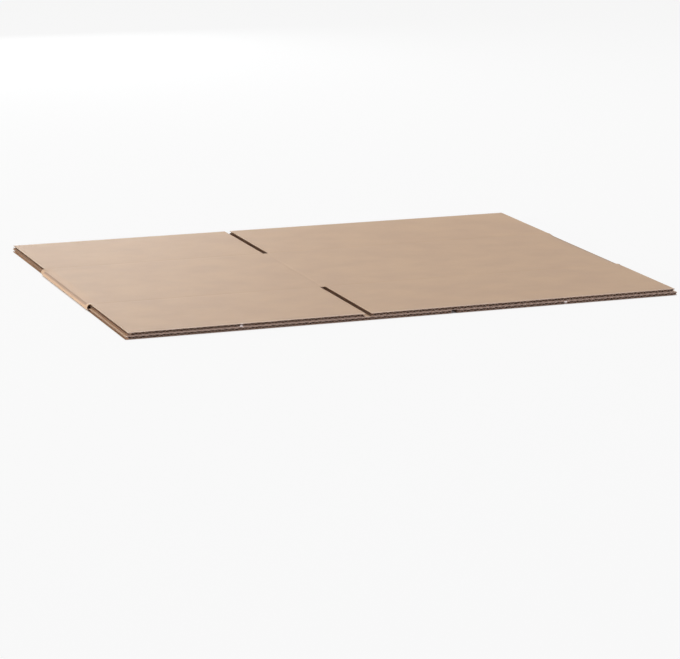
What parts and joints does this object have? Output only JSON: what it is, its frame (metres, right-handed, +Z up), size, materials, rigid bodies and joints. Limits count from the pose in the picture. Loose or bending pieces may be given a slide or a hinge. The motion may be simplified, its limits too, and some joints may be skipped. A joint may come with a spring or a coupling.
{
  "type": "flattened cardboard box",
  "caption": "Slotted shipping box of corrugated board, glued at one corner and folded flat, with open flute edges, slots and folded ends.",
  "frame": {"origin": "under the middle of the box, on the surface that it lies on", "axes": "+X along the folded length from one folded end to the other, +Y from the front flaps to the back flaps, +Z up through the two layers"},
  "size_m": [0.54, 0.39, 0.0062],
  "materials": {
    "kraft_board": "matt uncoated brown kraft paper"
  },
  "bodies": {
    "root": {"flattened_box": "kraft_board"}
  },
  "joints": []
}
